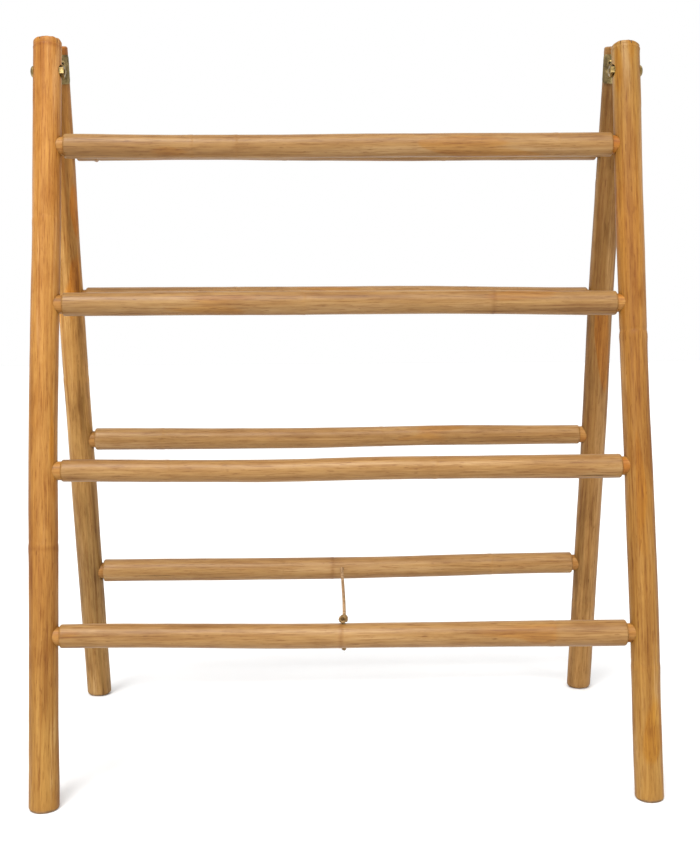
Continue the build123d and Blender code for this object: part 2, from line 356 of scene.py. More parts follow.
def caneMaterial(name, look, turn, seed, tone=1.0, rings=(), start=0.0, shades=()):
    # Lacquered cane. The grain runs along the texture's Z axis after the turn. Rings are the
    # nodes' places along it in metres from start, and shades are (metres from start, tint).
    material, tree, shader = startMaterial(name)
    links = tree.links
    place = addNode(tree, "ShaderNodeTexCoord", (-1800, 0)).outputs["Object"]
    turned = addNode(tree, "ShaderNodeMapping", (-1600, 0))
    turned.inputs["Rotation"].default_value = turn
    turned.inputs["Location"].default_value = (seed * 0.37, seed * 0.21, seed * 0.53)
    links.new(place, turned.inputs["Vector"])

    def grain(squeeze, scale, detail, roughness, row, distortion=0.0):
        drawn = stretch(tree, turned.outputs["Vector"], (1, 1, squeeze), (-1400, row))
        return noiseNode(tree, drawn, scale, detail, roughness, (-1200, row), distortion)

    def multiply(colour, share, tint, column):
        return mixColour(tree, share, colour, tint, (column, 400), "MULTIPLY")

    broad = grain(0.05, 90, 2, 0.5, 500, 0.15)
    stripes = grain(0.022, 330, 3, 0.6, 250)
    fibres = grain(0.05, 850, 4, 0.65, 0)
    clouds = grain(0.35, 45, 5, 0.62, -250, 0.3)
    patches = grain(0.25, 24, 2, 0.4, -500, 0.2)
    pores = grain(0.13, 620, 2, 0.5, -750)

    tones = [(0.30, look["deep"]), (0.46, look["middle"]), (0.56, look["middle"]), (0.70, look["pale"])]
    colour = ramp(tree, broad, tones, (-1000, 500))
    colour = multiply(colour, look["stripeShare"], ramp(tree, stripes, stripeTints, (-1000, 250)), -700)
    colour = multiply(colour, look["fibreShare"], ramp(tree, fibres, fibreTints, (-1000, 0)), -500)
    cloudTints = [(0.34, look["cloud"]), (0.52, white), (0.72, (1.06, 1.05, 1.03))]
    colour = multiply(colour, look["cloudShare"], ramp(tree, clouds, cloudTints, (-1000, -250)), -300)
    patchEdge = [(look["patchFrom"], 0.0), (look["patchFrom"] + 0.025, 1.0)]
    patchMask = ramp(tree, patches, patchEdge, (-1000, -500))
    patched = mixColour(tree, 1.0, colour, look["patch"], (-300, 150), "MULTIPLY")
    colour = mixColour(tree, patchMask, colour, patched, (-100, 400))
    poreShade = ramp(tree, pores, [(0.27, (0.55, 0.40, 0.25)), (0.34, white)], (-1000, -750))
    colour = multiply(colour, look["poreShare"], poreShade, 100)
    ringTint = None
    if rings:
        ringTint, alongTint = ringShade(tree, place, turn, clouds, rings, start, shades)
        colour = multiply(colour, nodeLine["share"], ringTint, 250)
        if alongTint is not None:
            colour = multiply(colour, 1.0, alongTint, 320)
    if tone != 1.0:
        colour = multiply(colour, 1.0, (tone, tone, tone), 400)
    links.new(colour, shader.inputs["Base Color"])

    rough = ramp(tree, clouds, [(0.30, look["rough"] + 0.13), (0.70, look["rough"] - 0.06)], (-700, -250))
    links.new(rough, shader.inputs["Roughness"])
    shader.inputs["Specular IOR Level"].default_value = look["gloss"]
    shader.inputs["Coat Weight"].default_value = look["coat"]
    shader.inputs["Coat Roughness"].default_value = 0.32
    soft = bump(tree, None, clouds, 0.5, 0.0012, (-300, -400))
    lines = bump(tree, None, stripes, 0.4, 0.0005, (-100, -400), soft)
    if ringTint is not None:
        lines = bump(tree, None, ringTint, 0.5, 0.0004, (0, -600), lines)
    bump(tree, shader, fibres, 0.35, 0.00022, (100, -400), lines)
    return material


def bareWoodAndShadeMaterial(name, colour):
    # Bare wood with open pores and a little dirt, in the colour given: the end grain; the cut faces in
    # sockets, seats, the bracket's slot and splits, set darker as painted shade; and the near-black painted
    # shade in the screws' cross recesses.
    material, tree, shader = startMaterial(name)
    place = addNode(tree, "ShaderNodeTexCoord", (-900, 0)).outputs["Object"]
    dots = addNode(tree, "ShaderNodeTexVoronoi", (-700, 100))
    dots.inputs["Scale"].default_value = 900
    tree.links.new(place, dots.inputs["Vector"])
    dirt = noiseNode(tree, place, 160, 4, 0.6, (-700, -200))
    dotShade = ramp(tree, dots.outputs["Distance"], [(0.12, 0.45), (0.34, 1.0)], (-450, 100))
    dirtShade = ramp(tree, dirt, [(0.3, 0.55), (0.7, 1.05)], (-450, -200))
    mixed = mixColour(tree, 1.0, colour, dotShade, (-200, 100), "MULTIPLY")
    mixed = mixColour(tree, 1.0, mixed, dirtShade, (0, 100), "MULTIPLY")
    tree.links.new(mixed, shader.inputs["Base Color"])
    shader.inputs["Roughness"].default_value = 0.85
    bump(tree, shader, dotShade, 0.4, 0.0002, (0, -200))
    return material


def brassMaterial(name, look):
    # Aged brass: brown film over the metal, brighter in patches of noise, fine scratches.
    material, tree, shader = startMaterial(name)
    place = addNode(tree, "ShaderNodeTexCoord", (-1200, 0)).outputs["Object"]
    film = noiseNode(tree, place, 120, 5, 0.62, (-1000, 300), 0.5)
    specks = noiseNode(tree, place, 900, 3, 0.6, (-1000, 50))
    drawn = stretch(tree, place, (1, 0.06, 1), (-1200, -250))
    scratches = noiseNode(tree, drawn, 2600, 2, 0.5, (-1000, -250))
    tones = [(0.32, look["dark"]), (0.52, look["middle"]), (0.72, look["bright"])]
    metal = ramp(tree, film, tones, (-700, 300))
    speckShade = ramp(tree, specks, [(0.32, 0.6), (0.46, 1.0)], (-700, 50))
    colour = mixColour(tree, 0.6, metal, speckShade, (-400, 300), "MULTIPLY")
    tree.links.new(colour, shader.inputs["Base Color"])
    shader.inputs["Metallic"].default_value = look["metallic"]
    rough = ramp(tree, film, [(0.3, look["rough"] + 0.15), (0.7, look["rough"] - 0.08)], (-400, 0))
    tree.links.new(rough, shader.inputs["Roughness"])
    dents = bump(tree, None, film, 0.25, 0.0004, (-200, -250))
    bump(tree, shader, scratches, 0.2, 0.00006, (0, -250), dents)
    return material


def juteMaterial(name, look):
    # Twisted plant fibre: the UV runs along and around each ply.
    material, tree, shader = startMaterial(name)
    uv = addNode(tree, "ShaderNodeUVMap", (-1200, 0), uv_map="UVMap").outputs["UV"]
    lay = stretch(tree, uv, (900, 9, 1), (-1000, 100))
    twistNode = addNode(tree, "ShaderNodeMapping", (-1000, -150))
    twistNode.inputs["Rotation"].default_value = (0, 0, math.radians(62))
    tree.links.new(lay, twistNode.inputs["Vector"])
    drawn = stretch(tree, twistNode.outputs["Vector"], (1.6, 0.12, 1), (-800, -150))
    hair = noiseNode(tree, drawn, 1.0, 4, 0.65, (-600, -150))
    place = addNode(tree, "ShaderNodeTexCoord", (-1200, 400)).outputs["Object"]
    blotch = noiseNode(tree, place, 220, 3, 0.6, (-600, 300))
    base = ramp(tree, blotch, [(0.3, look["dark"]), (0.5, look["middle"]), (0.7, look["pale"])], (-350, 300))
    shade = ramp(tree, hair, [(0.32, 0.45), (0.5, 1.0), (0.7, 1.25)], (-350, -150))
    colour = mixColour(tree, 0.8, base, shade, (-100, 200), "MULTIPLY")
    tree.links.new(colour, shader.inputs["Base Color"])
    shader.inputs["Roughness"].default_value = 0.9
    shader.inputs["Specular IOR Level"].default_value = 0.2
    bump(tree, shader, hair, 0.7, 0.00025, (-100, -150))
    return material


# camera, in front and a little above the middle
camera = {"place": (-0.0316, -1.4625, 0.540), "pan": -1.66, "look": 90 - 6.74, "roll": -0.33, "lens": 55.55}
cameraData = bpy.data.cameras.new("camera")
cameraData.sensor_width = 36
cameraData.lens = camera["lens"]
cameraPiece = bpy.data.objects.new("camera", cameraData)
scene.collection.objects.link(cameraPiece)
cameraPiece.matrix_world = (
    Matrix.Translation(camera["place"])
    @ Matrix.Rotation(math.radians(camera["pan"]), 4, "Z")
    @ Matrix.Rotation(math.radians(camera["look"]), 4, "X")
    @ Matrix.Rotation(math.radians(camera["roll"]), 4, "Z")
)
scene.camera = cameraPiece

# stay twine: tight between the bottom rungs
juteLook = {"dark": (0.15, 0.078, 0.030), "middle": (0.30, 0.172, 0.078), "pale": (0.45, 0.30, 0.165)}
knotLook = {"dark": (0.09, 0.050, 0.016), "middle": (0.21, 0.122, 0.045), "pale": (0.36, 0.235, 0.11)}
jute = juteMaterial("jute", juteLook)
knotJute = juteMaterial("knotJute", knotLook)
twine = {
    "diameter": 3.0 * mm,
    "laid": 3.55 * mm,
    "turnEvery": 9.5 * mm,
    "step": 0.7 * mm,
    "hairs": 260,
    "hairLength": 2.6 * mm,
}
# Out of the rear knot, through the rear rung, across, and into the front knot.
twineRoute = [
    (0.0035, 0.15999, 0.17032),
    (0.0035, 0.13169, 0.17032),
    (0.0005, -0.12724, 0.18391),
    (-0.00067, -0.14288, 0.18344),
]


def splineLine(points):
    curve = bpy.data.curves.new("twineRoute", "CURVE")
    curve.dimensions = "3D"
    curve.resolution_u = 160
    spline = curve.splines.new("NURBS")
    spline.points.add(len(points) - 1)
    for point, place in zip(spline.points, points):
        point.co = (*place, 1)
    spline.order_u = 3
    spline.use_endpoint_u = True
    holder = bpy.data.objects.new("twineRoute", curve)
    mesh = bpy.data.meshes.new_from_object(holder)
    line = [vertex.co.copy() for vertex in mesh.vertices]
    bpy.data.objects.remove(holder)
    bpy.data.meshes.remove(mesh)
    bpy.data.curves.remove(curve)
    return line


def placesAlong(line, step):
    # (distance, place, direction) at even steps along a line of points.
    found = []
    along, wanted = 0.0, 0.0
    for a, b in zip(line, line[1:]):
        run = (b - a).length
        while wanted <= along + run and run > 0:
            found.append((wanted, a.lerp(b, (wanted - along) / run), (b - a).normalized()))
            wanted += step
        along += run
    found.append((along, line[-1], (line[-1] - line[-2]).normalized()))
    return found


def addTwist(store, line, diameter, turnEvery, step, closed=False):
    plies = 3  # laid round the line
    plyRadius = diameter * 0.262
    offset = diameter / 2 - plyRadius
    places = placesAlong(line, step)
    total = places[-1][0]
    if closed:
        places = places[:-1]
        turnEvery = total / max(1, round(total / turnEvery))
    normal = None
    sections = []
    for distance, place, direction in places:
        if normal is None:
            normal = direction.orthogonal().normalized()
        normal = (normal - direction * normal.dot(direction)).normalized()
        sections.append((distance, place, normal.copy(), direction.cross(normal)))
    # a closed line comes back with its sections turned, so the plies take that turn up evenly
    slack = 0.0
    if closed:
        endNormal = sections[-1][2]
        first = sections[0]
        slack = math.atan2(endNormal.dot(first[3]), endNormal.dot(first[2]))
    for ply in range(plies):
        path = []
        for distance, place, side, top in sections:
            angle = 2 * math.pi * (distance / turnEvery + ply / plies) - slack * distance / total
            path.append(place + (side * math.cos(angle) + top * math.sin(angle)) * offset)
        addTube(store, path, [plyRadius] * len(path), 10, closed)


def addHairs(store, line, diameter, count, length, chance):
    # Loose fibre ends standing off the surface.
    places = placesAlong(line, 0.25 * mm)
    for _ in range(count):
        distance, place, direction = places[chance.randrange(len(places))]
        side = direction.orthogonal().normalized()
        angle = chance.uniform(0, 2 * math.pi)
        out = side * math.cos(angle) + direction.cross(side) * math.sin(angle)
        root = place + out * diameter * 0.40
        reach = length * chance.uniform(0.35, 1.0)
        lean = direction * chance.uniform(-1, 1)
        bent = Vector((0, 0, -chance.uniform(0, 0.4)))
        path = [
            root,
            root + (out * 0.35 + lean * 0.5) * reach * 0.4,
            root + (out * 0.55 + lean * 0.9) * reach * 0.75,
            root + (out * 0.6 + lean * 1.1 + bent) * reach,
        ]
        limit = diameter * 0.5 + 1.6 * mm
        path = [p if (p - place).dot(out) < limit else p - out * ((p - place).dot(out) - limit) for p in path]
        thick = chance.uniform(0.035, 0.06) * mm
        addTube(store, path, [thick, thick, thick * 0.8, thick * 0.4], 3)


def newStore():
    return {"points": [], "faces": [], "uvs": []}


def storeMesh(name, store, material):
    return newMesh(name, store["points"], store["faces"], store["uvs"], [material])


chance = random.Random(11)
twineLine = splineLine(twineRoute)
twineStore = newStore()
addTwist(twineStore, twineLine, twine["laid"], twine["turnEvery"], twine["step"])
addHairs(twineStore, twineLine, twine["laid"], twine["hairs"], twine["hairLength"], chance)
stayTwine = storeMesh("stayTwine", twineStore, jute)


def knotLine(centre, axis, size, depth, turn=0.0):
    # A trefoil loop pulled tight: over and under itself three times.
    forward = Vector(axis).normalized()
    side = Vector((0, 0, 1)).cross(forward)
    side = side.normalized() if side.length > 0.1 else Vector((1, 0, 0))
    top = forward.cross(side)
    line = []
    for i in range(181):
        angle = 2 * math.pi * i / 180
        a = (math.sin(angle) + 2 * math.sin(2 * angle)) * size / 3
        b = (math.cos(angle) - 2 * math.cos(2 * angle)) * size / 3
        c = -math.sin(3 * angle) * depth
        across = side * math.cos(turn) + top * math.sin(turn)
        rise = top * math.cos(turn) - side * math.sin(turn)
        line.append(centre + across * a + rise * b + forward * c)
    return line


def ringLine(centre, axis, size):
    forward = Vector(axis).normalized()
    side = forward.orthogonal().normalized()
    top = forward.cross(side)
    angles = [2 * math.pi * i / 90 for i in range(91)]
    return [centre + (side * math.cos(a) + top * math.sin(a)) * size for a in angles]


# The front knot: one open turn facing forward, two tight turns lapped over its side, and one inside.
# Each turn: (centre from the knot's middle in mm, the way it faces, radius in mm).
knotTurns = [
    ((-1.3, -1.3, -0.2), (0.2, -1, 0.1), 2.9),
    ((1.5, 0.1, 0.2), (1, 0.35, 0.5), 2.6),
    ((0.2, 1.5, 0.0), (-0.3, -1, 0.35), 3.0),
    ((-0.6, 0.6, -0.1), (0.3, -1, -0.4), 1.5),
]
knot = {"ply": 2.7 * mm, "turnEvery": 7 * mm, "step": 0.5 * mm, "hairs": 70, "hairLength": 2.2 * mm,
        "size": 3.7 * mm, "depth": 1.35 * mm, "turn": 1.1}
tail = {"ply": 2.7 * mm, "turnEvery": 8 * mm, "step": 0.7 * mm, "drops": (1.0, 8.0, 16.0, 24.0, 30.5)}
stop = {"ply": 1.9 * mm, "turnEvery": 5 * mm, "step": 0.4 * mm, "hairs": 45, "hairLength": 2.0 * mm,
        "size": 1.75 * mm, "depth": 0.75 * mm, "turn": 0.2, "drop": 31.6}


def twist(store, line, values, closed=True):
    addTwist(store, line, values["ply"], values["turnEvery"], values["step"], closed)


def knotHairs(store, line, values):
    addHairs(store, line, values["ply"], values["hairs"], values["hairLength"], chance)


frontKnotCentre = Vector((-1.0, -147.24, 183.31)) * mm
frontStore = newStore()
frontLine = []
for turnCentre, turnAxis, turnSize in knotTurns:
    turnLine = ringLine(frontKnotCentre + Vector(turnCentre) * mm, turnAxis, turnSize * mm)
    twist(frontStore, turnLine, knot)
    frontLine += turnLine
tailLine = [frontKnotCentre + Vector((0, 0, -drop)) * mm for drop in tail["drops"]]
twist(frontStore, tailLine, tail, closed=False)
stopCentre = frontKnotCentre + Vector((0, 0, -stop["drop"])) * mm
stopLine = knotLine(stopCentre, (0, 0, -1), stop["size"], stop["depth"], stop["turn"])
twist(frontStore, stopLine, stop)
knotHairs(frontStore, frontLine, knot)
knotHairs(frontStore, stopLine, stop)
frontKnot = storeMesh("frontTwineKnot", frontStore, knotJute)

rearKnotCentre = Vector((3.5, 163.9, 170.32)) * mm
rearStore = newStore()
rearLine = knotLine(rearKnotCentre, (0, 1, 0), knot["size"], knot["depth"], knot["turn"])
twist(rearStore, rearLine, knot)
knotHairs(rearStore, rearLine, knot)
rearKnot = storeMesh("rearTwineKnot", rearStore, knotJute)

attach(frontKnot, "front_frame")
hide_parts("front_twine_knot")
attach(rearKnot, "rear_frame")
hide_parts("rear_twine_knot")
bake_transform(stayTwine)
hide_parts("stay_twine")
print("twine and knots made")

# cane frames
tilt = math.radians(11.8)
frames = {
    "front": {"foot": -182.01 * mm, "lean": 1, "length": 804.0 * mm, "firstRung": 170.0, "rungGap": 172.0,
              "neck": 291.6, "footRound": 3.0, "splitFrom": 9.3},
    "rear": {"foot": 182.77 * mm, "lean": -1, "length": 800.45 * mm, "firstRung": 174.0, "rungGap": 171.15,
             "neck": 292.6, "footRound": 5.0, "splitFrom": 3.0},
}
poleSpacing = 620 * mm
tenonRadius = 9.85 * mm
socketGap = 0.4 * mm
rungNames = ["bottom", "lower", "upper", "top"]
for values in frames.values():
    values["rungs"] = [values["firstRung"] + values["rungGap"] * k for k in range(len(rungNames))]

# Each pole. Its bend: (share of its length, sideways in mm, diameter in mm). Its nodes: (mm along,
# ridge in mm, width in mm). Its splits: (angle round the top, width in mm, depth in mm). Its
# shades: (share of its length, tint).
poleShapes = {
    ("front", "left"): {
        "bend": [(0, 3.5, 31), (0.12, 2, 30), (0.5, -1, 30), (0.75, 0.5, 30), (0.94, 0, 30)],
        "nodes": [(793.0, 0.25, 2.0), (604.0, 0.2, 5.0), (262.0, 0.25, 6.0)],
        "tone": 1.0, "top": {"drop": 0.0, "round": 3.6, "crown": 1.4, "rough": 1.8},
        "splits": [(-112, 2.6, 5.0), (-38, 1.4, 9.0), (62, 1.2, 10.0), (171, 1.0, 8.0)],
        "shades": [
            (0.1, (0.9, 1.05, 1.3)), (0.3, (0.85, 0.85, 0.9)),
            (0.5, (1.05, 1.15, 1.45)), (0.9, (1.1, 1.1, 1.2)),
        ],
    },
    ("front", "right"): {
        "bend": [(0, 0.5, 29.5), (0.25, 1, 30), (0.6, -1, 29), (0.76, -1, 30), (0.94, 0, 30)],
        "nodes": [(790.5, 0.5, 1.8), (478.0, 0.45, 6.0), (132.0, 0.2, 6.0)],
        "tone": 0.80, "top": {"drop": 3.6, "round": 5.0, "crown": 2.6, "rough": 1.2},
        "splits": [(-78, 4.6, 6.0), (-124, 1.4, 7.0), (24, 1.2, 10.0), (140, 1.0, 8.0)],
        "shades": [
            (0.05, (1.1, 1.3, 1.6)), (0.5, (0.9, 0.9, 0.85)),
            (0.75, (1.1, 1.1, 1.0)), (0.95, (1.0, 1.15, 1.35)),
        ],
    },
    ("rear", "left"): {
        "bend": [(0, 1.5, 30), (0.3, 0, 30.5), (0.6, -1, 29.5), (0.92, 0, 28.4)],
        "nodes": [(690.0, 0.2, 5.0), (420.0, 0.25, 6.0), (90.0, 0.3, 6.0)],
        "tone": 1.42, "top": {"drop": -1.6, "round": 2.4, "crown": 0.4, "rough": 0.5},
        "splits": [(-60, 0.7, 5.0), (95, 0.8, 8.0)],
        "shades": [
            (0.05, (1.05, 1.2, 1.5)), (0.2, (0.8, 0.9, 1.1)),
            (0.65, (1.35, 1.4, 1.4)), (0.95, (1.1, 1.0, 0.8)),
        ],
    },
    ("rear", "right"): {
        "bend": [(0, 1.5, 30), (0.33, 1, 29.5), (0.7, -1, 29), (0.92, 0, 28.4)],
        "nodes": [(795.5, 0.12, 1.2), (650.0, 0.2, 5.0), (300.0, 0.3, 6.0), (120.0, 0.2, 6.0)],
        "tone": 1.15, "top": {"drop": -0.6, "round": 2.2, "crown": 0.4, "rough": 0.5},
        "splits": [(-140, 0.7, 5.0), (40, 0.8, 8.0)],
        "shades": [(0.1, (1.3, 1.4, 1.7)), (0.45, (1.0, 1.0, 1.05)), (0.75, (0.9, 0.9, 0.9))],
    },
}
# Each rung: (place across in mm, lift in mm, diameter in mm).
rungShapes = {
    ("front", "bottom"): [(-290, 2.5, 24.5), (0, -1, 25.5), (290, -2, 27)],
    ("front", "lower"): [(-290, 0, 23), (-80, -2, 23.5), (60, -0.5, 24), (290, -0.5, 25)],
    ("front", "upper"): [(-290, 2.5, 25), (80, 2.5, 25), (290, 0.5, 25.5)],
    ("front", "top"): [(-290, 0, 26), (-160, -1, 25), (80, 0, 25), (290, 0, 25.5)],
    ("rear", "bottom"): [(-290, -1, 27.5), (0, -1.5, 27), (290, 2, 26)],
    ("rear", "lower"): [(-290, 1, 26), (-40, 0, 24.5), (140, 2, 24), (290, 1.5, 23)],
    ("rear", "upper"): [(-290, 3.5, 25), (60, 3, 25), (290, 0, 25.5)],
    ("rear", "top"): [(-290, 3, 26), (-160, 3.5, 25.5), (80, 1.5, 25.5), (290, 2, 25.5)],
}

rungTones = {"front": [0.95, 0.97, 0.88, 0.90], "rear": [1.02, 1.00, 0.97, 0.96]}  # from the bottom up

# Nodes along the rungs: (place across in mm, ridge in mm, width in mm).
rungNodes = {
    ("front", "bottom"): [(-4, 0.2, 2.5), (214, 0.15, 3)],
    ("front", "lower"): [(-182, 0.15, 3), (96, 0.2, 3)],
    ("front", "upper"): [(-40, 0.15, 3), (160, 0.15, 3)],
    ("front", "top"): [(-157, 0.2, 2.5), (-110, 0.2, 2.5), (232, 0.2, 3)],
    ("rear", "bottom"): [(-8, 0.2, 2.5), (190, 0.2, 3)],
    ("rear", "lower"): [(-212, 0.2, 3), (52, 0.2, 3)],
    ("rear", "upper"): [(-120, 0.2, 3), (150, 0.2, 3)],
    ("rear", "top"): [(-271, 1.3, 2.4), (-60, 0.2, 3), (120, 0.2, 3)],
}

frontPole = {
    "deep": (0.230, 0.090, 0.013), "middle": (0.300, 0.131, 0.023), "pale": (0.37, 0.19, 0.060),
    "stripeShare": 0.9, "fibreShare": 0.9, "cloud": (0.78, 0.66, 0.46), "cloudShare": 0.75,
    "patch": (0.97, 0.84, 0.42), "patchFrom": 0.585, "poreShare": 0.6,
    "rough": 0.5, "coat": 0.08, "gloss": 0.14,
}
rearPole = {
    "deep": (0.115, 0.052, 0.010), "middle": (0.185, 0.090, 0.022), "pale": (0.27, 0.15, 0.05),
    "stripeShare": 0.9, "fibreShare": 0.8, "cloud": (0.68, 0.62, 0.50), "cloudShare": 0.9,
    "patch": (1.08, 0.84, 0.36), "patchFrom": 0.62, "poreShare": 0.7,
    "rough": 0.52, "coat": 0.08, "gloss": 0.15,
}
rungCane = {
    "deep": (0.205, 0.100, 0.026), "middle": (0.262, 0.140, 0.043), "pale": (0.32, 0.188, 0.074),
    "stripeShare": 0.7, "fibreShare": 0.85, "cloud": (0.82, 0.74, 0.60), "cloudShare": 0.65,
    "patch": (0.98, 0.85, 0.55), "patchFrom": 0.65, "poreShare": 0.75,
    "rough": 0.44, "coat": 0.16, "gloss": 0.22,
}
tenonCane = {
    "deep": (0.22, 0.098, 0.018), "middle": (0.31, 0.148, 0.033), "pale": (0.38, 0.21, 0.070),
    "stripeShare": 0.8, "fibreShare": 0.7, "cloud": (0.78, 0.64, 0.42), "cloudShare": 0.8,
    "patch": (0.9, 0.7, 0.3), "patchFrom": 0.6, "poreShare": 0.6,
    "rough": 0.5, "coat": 0.1, "gloss": 0.2,
}
tenonSkin = caneMaterial("tenonCane", tenonCane, (0, math.radians(-90), 0), 3.3)
endGrain = bareWoodAndShadeMaterial("endGrain", (0.24, 0.125, 0.04))
# Bare cut wood, partly its own colour and partly painted shade: set darker than the end grain for the faces
# inside sockets, seats, the slot, splits and twine holes.
shadedCutWood = bareWoodAndShadeMaterial("shadedCutWood", (0.20, 0.10, 0.035))


# Drying splits in two rungs: (from mm, to mm, angle round the rung, width in mm, depth in mm).
rungSplits = {
    ("front", "lower"): (243, 284, -139, 0.8, 1.8),
    ("rear", "bottom"): (-262, -196, -160, 0.6, 1.4),
}

# What is cut into the poles, in mm: the rungs' sockets, each from a place inward of the pole's
# middle, and in the front poles the bolt's hole, the seats of its washer and head, and the slot
# that the bracket's tongue turns in. Holes and seats are radii.
hinge = {"front": 767.0, "rear": 777.45}  # along the poles
socket = {"from": 24, "length": 29}
boltCut = {"hole": 3.05, "reach": 20, "seat": 7.3, "seatDepth": 10, "washerAt": 12, "headAt": 13.7}
tongueSlot = {"half": 1.75, "corners": ((-8.0, -10.5), (24.0, -10.5), (24.0, 50.0), (-8.0, 50.0))}
rungBar = {"tenonEnd": 313 * mm, "round": 2.3 * mm, "twineHole": 2.2 * mm}


def poleAxis(frameName, side):
    values = frames[frameName]
    up = Vector((0, values["lean"] * math.sin(tilt), math.cos(tilt)))
    foot = Vector((side * poleSpacing / 2, values["foot"], 0))
    return foot, up, up.cross(Vector((1, 0, 0)))


def nodeLift(nodes, at, dip):
    # How far the nodes raise the surface at a place: a ridge, and a dip just past it.
    lift = 0.0
    for node, ridge, width in nodes:
        away = (at - node) / width
        lift += ridge * math.exp(-away * away) - ridge * dip * math.exp(-(((away - 1.1) / 0.45) ** 2))
    return lift


def unevenness(angle, along, seed):
    # Slow and quick wander of a cane's surface.
    around = Vector((math.cos(angle), math.sin(angle), 0))
    slow = noise.noise(around * 0.9 + Vector((seed, 0, along * 9)))
    quick = noise.noise(around * 2.6 + Vector((0, seed, along * 42)))
    return slow, quick


def barStations(first, last, nodes, fine, reach):
    # Places along a bar, close together near its nodes.
    found, at = [], first
    while at < last:
        found.append((at, 0.0))
        near = any(abs(at - node) < reach * width for node, ridge, width in nodes)
        at += fine if near else 4 * mm
    return found


def poleStations(length, footRound, topRound, crown, flat, nodes):
    # (along, inset from the surface): rounded foot, the length, rounded top edge and crowned end.
    foot = [math.pi / 2 * k / 6 for k in range(7)]
    edge = [math.pi / 2 * k / 8 for k in range(9)]
    stations = [(footRound * (1 - math.cos(a)), footRound * (1 - math.sin(a))) for a in foot]
    stations += barStations(footRound + 4 * mm, length - topRound - 1 * mm, nodes, 0.7 * mm, 2.5)
    stations += [(length - topRound * (1 - math.sin(a)) - crown, topRound * (1 - math.cos(a))) for a in edge]
    for share in (0.8, 0.6, 0.4, 0.2, 0.06):
        stations.append((length - crown * share * share, topRound + flat * (1 - share)))
    return stations


def splitCutters(values, splits, foot, up, back, rim, crown):
    # Wedges cut in from the pole's side, down from its top.
    cutters = []
    for number, (angle, wide, deep) in enumerate(splits):
        out = Vector((1, 0, 0)) * math.cos(math.radians(angle)) + back * math.sin(math.radians(angle))
        across = up.cross(out) * wide / 2 * mm
        base = foot + up * rim
        above = base + up * (crown + 3 * mm)
        wedge = [above - across * 1.6, above + across * 1.6, base - up * deep * mm]
        outlines = [[p + out * reach * mm for p in wedge] for reach in (values["splitFrom"], 22)]
        cutters.append(prismCutter(f"split{number}", outlines, shadedCutWood))
    return cutters


def socketCutters(frameName, side, foot, up, inward):
    cutters = []
    for number, along in enumerate(frames[frameName]["rungs"]):
        lift = smoothBetween(rungShapes[frameName, rungNames[number]], side * 290)[0] * mm
        start = foot + up * along * mm + Vector((0, 0, lift)) + inward * socket["from"] * mm
        radius = tenonRadius + socketGap
        cutters.append(roundCutter(f"socket{number}", start, -inward, socket["length"] * mm, radius, shadedCutWood))
    return cutters


def hingeCutters(foot, up, back, inward):
    pivot = foot + up * hinge["front"] * mm
    hole, seat, depth = boltCut["hole"] * mm, boltCut["seat"] * mm, boltCut["seatDepth"] * mm
    boltStart, washerSeat = pivot + inward * boltCut["reach"] * mm, pivot + inward * boltCut["washerAt"] * mm
    headSeat = pivot - inward * boltCut["headAt"] * mm
    cutters = [
        roundCutter("boltHole", boltStart, -inward, 2 * boltCut["reach"] * mm, hole, shadedCutWood),
        roundCutter("washerSeat", washerSeat, inward, depth, seat, shadedCutWood),
        roundCutter("headSeat", headSeat, -inward, depth, seat, shadedCutWood),
    ]
    corners = []
    for x in (-tongueSlot["half"], tongueSlot["half"]):
        for across, rise in tongueSlot["corners"]:
            corners.append(pivot + Vector((x * mm, 0, 0)) + back * across * mm + up * rise * mm)
    slotFaces = [(0, 1, 2, 3), (7, 6, 5, 4), (0, 4, 5, 1), (1, 5, 6, 2), (2, 6, 7, 3), (3, 7, 4, 0)]
    return cutters + [blockCutter("tongueSlot", corners, slotFaces, shadedCutWood)]


